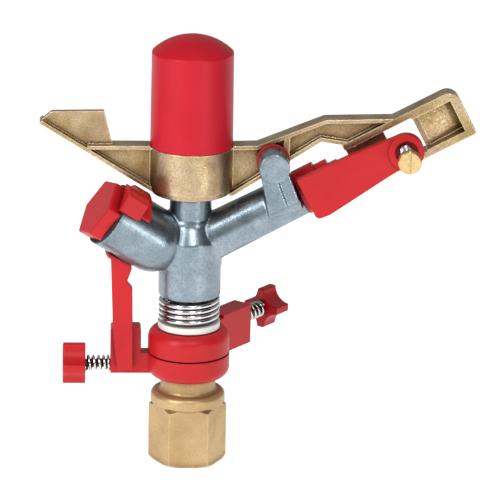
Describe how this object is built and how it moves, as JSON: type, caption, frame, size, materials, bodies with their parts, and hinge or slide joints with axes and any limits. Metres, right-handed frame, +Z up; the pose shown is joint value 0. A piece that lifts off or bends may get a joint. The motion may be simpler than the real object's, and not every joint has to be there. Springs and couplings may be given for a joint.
{
  "type": "impact sprinkler",
  "caption": "Part-circle impact sprinkler head: threaded brass base, grey body, hammer arm with spoon, red cap, trip lever, sector collars and jet breaker.",
  "frame": {"origin": "on the spindle axis, at the bottom face of the inlet nut", "axes": "+Z up along the spindle, +X towards the nozzle's side, +Y away from the jet breaker"},
  "size_m": [0.2036, 0.0947, 0.2079],
  "materials": {
    "cast_brass": "sand-cast brass, satin, machined hexagon",
    "arm_brass": "cast brass, dull olive tumble finish",
    "turned_brass": "turned brass, bright",
    "bronze": "sintered bronze bush",
    "grey_casting": "die-cast alloy, blue-grey satin",
    "steel": "stainless steel, turned",
    "chrome_wire": "bright plated spring wire",
    "red_plastic": "moulded red acetal, semi-matt",
    "red_cap": "moulded red plastic, soft gloss",
    "white_nylon": "natural white nylon",
    "black_rubber": "black rubber"
  },
  "bodies": {
    "root": {"inlet_nut": "cast_brass", "lower_seal_washer": "white_nylon", "rubber_seal": "black_rubber", "upper_seal_washer": "white_nylon", "thrust_washer": "white_nylon"},
    "head": {"swivel_tube": "steel", "thrust_spring": "chrome_wire", "body_casting": "grey_casting", "main_nozzle": "turned_brass", "flow_straightener": "white_nylon", "nozzle_shroud": "red_plastic", "jet_breaker_spring": "chrome_wire", "bumper": "red_plastic", "rear_plug": "red_plastic", "plug_gasket": "black_rubber", "fulcrum_pin": "steel", "hub_washer": "white_nylon", "arm_return_spring": "chrome_wire", "spring_retainer": "steel", "spindle_nut": "steel", "cap": "red_cap", "trip_lever_spring": "chrome_wire"},
    "arm": {"hammer_arm": "arm_brass", "lower_arm_bush": "bronze", "upper_arm_bush": "bronze"},
    "trip": {"trip_lever": "red_plastic"},
    "lower_sector": {"lower_collar": "red_plastic", "lower_lock_spring": "chrome_wire"},
    "upper_sector": {"upper_collar": "red_plastic", "upper_lock_spring": "chrome_wire"},
    "lower_pad": {"lower_friction_pad": "white_nylon"},
    "lower_lock": {"lower_lock_screw": "steel", "lower_lock_knob": "red_plastic"},
    "upper_pad": {"upper_friction_pad": "white_nylon"},
    "upper_lock": {"upper_lock_screw": "steel", "upper_lock_knob": "red_plastic"},
    "breaker_washer": {"jet_breaker_washer": "steel"},
    "breaker_screw": {"jet_breaker_screw": "turned_brass"}
  },
  "joints": [
    {"name": "head_rotation", "type": "hinge", "parent": "root", "child": "head", "pos_m": [0, 0, 0.0662], "axis": [0, 0, 1], "range_deg": [0, 194]},
    {"name": "arm_swing", "type": "hinge", "parent": "head", "child": "arm", "pos_m": [0, 0, 0.14], "axis": [0, 0, 1], "range_deg": [0, 100], "stiffness_Nm_per_rad": 0.05, "springref_deg": -34.38, "deforming": ["arm_return_spring"]},
    {"name": "trip_lever_rock", "type": "hinge", "parent": "head", "child": "trip", "pos_m": [0, 0, 0.0982], "axis": [-0.8203, -0.1744, 0.5446], "range_deg": [0, 12], "deforming": ["trip_lever_spring"]},
    {"name": "lower_sector_turn", "type": "hinge", "parent": "root", "child": "lower_sector", "pos_m": [0, 0, 0.0475], "axis": [0, 0, 1], "range_deg": [-40, 0]},
    {"name": "upper_sector_turn", "type": "hinge", "parent": "root", "child": "upper_sector", "pos_m": [0, 0, 0.06], "axis": [0, 0, 1], "range_deg": [0, 50]},
    {"name": "lower_pad_slide", "type": "slide", "parent": "lower_sector", "child": "lower_pad", "axis": [-1, 0, 0], "range_m": [-0.003, 0], "deforming": ["lower_lock_spring"]},
    {"name": "lower_lock_turn", "type": "hinge", "parent": "lower_pad", "child": "lower_lock", "pos_m": [0, 0, 0.0472], "axis": [-1, 0, 0], "range_deg": [-720.5, 0]},
    {"name": "upper_pad_slide", "type": "slide", "parent": "upper_sector", "child": "upper_pad", "axis": [0.6293, 0.7771, 0], "range_m": [-0.003, 0], "deforming": ["upper_lock_spring"]},
    {"name": "upper_lock_turn", "type": "hinge", "parent": "upper_pad", "child": "upper_lock", "pos_m": [0, 0, 0.06], "axis": [0.6293, 0.7771, 0], "range_deg": [-720.5, 0]},
    {"name": "breaker_slide", "type": "slide", "parent": "head", "child": "breaker_washer", "axis": [0, -1, 0], "range_m": [-0.007, 0], "deforming": ["jet_breaker_spring"]},
    {"name": "breaker_turn", "type": "hinge", "parent": "breaker_washer", "child": "breaker_screw", "pos_m": [0.09912, 0, 0.15715], "axis": [0, -1, 0], "range_deg": [-2520.5, 0]}
  ],
  "couplings": [
    {"joint": "lower_lock_turn", "follows": "lower_pad_slide", "rad_per_m": 4188.8},
    {"joint": "upper_lock_turn", "follows": "upper_pad_slide", "rad_per_m": 4188.8},
    {"joint": "breaker_turn", "follows": "breaker_slide", "rad_per_m": 6283.2}
  ]
}
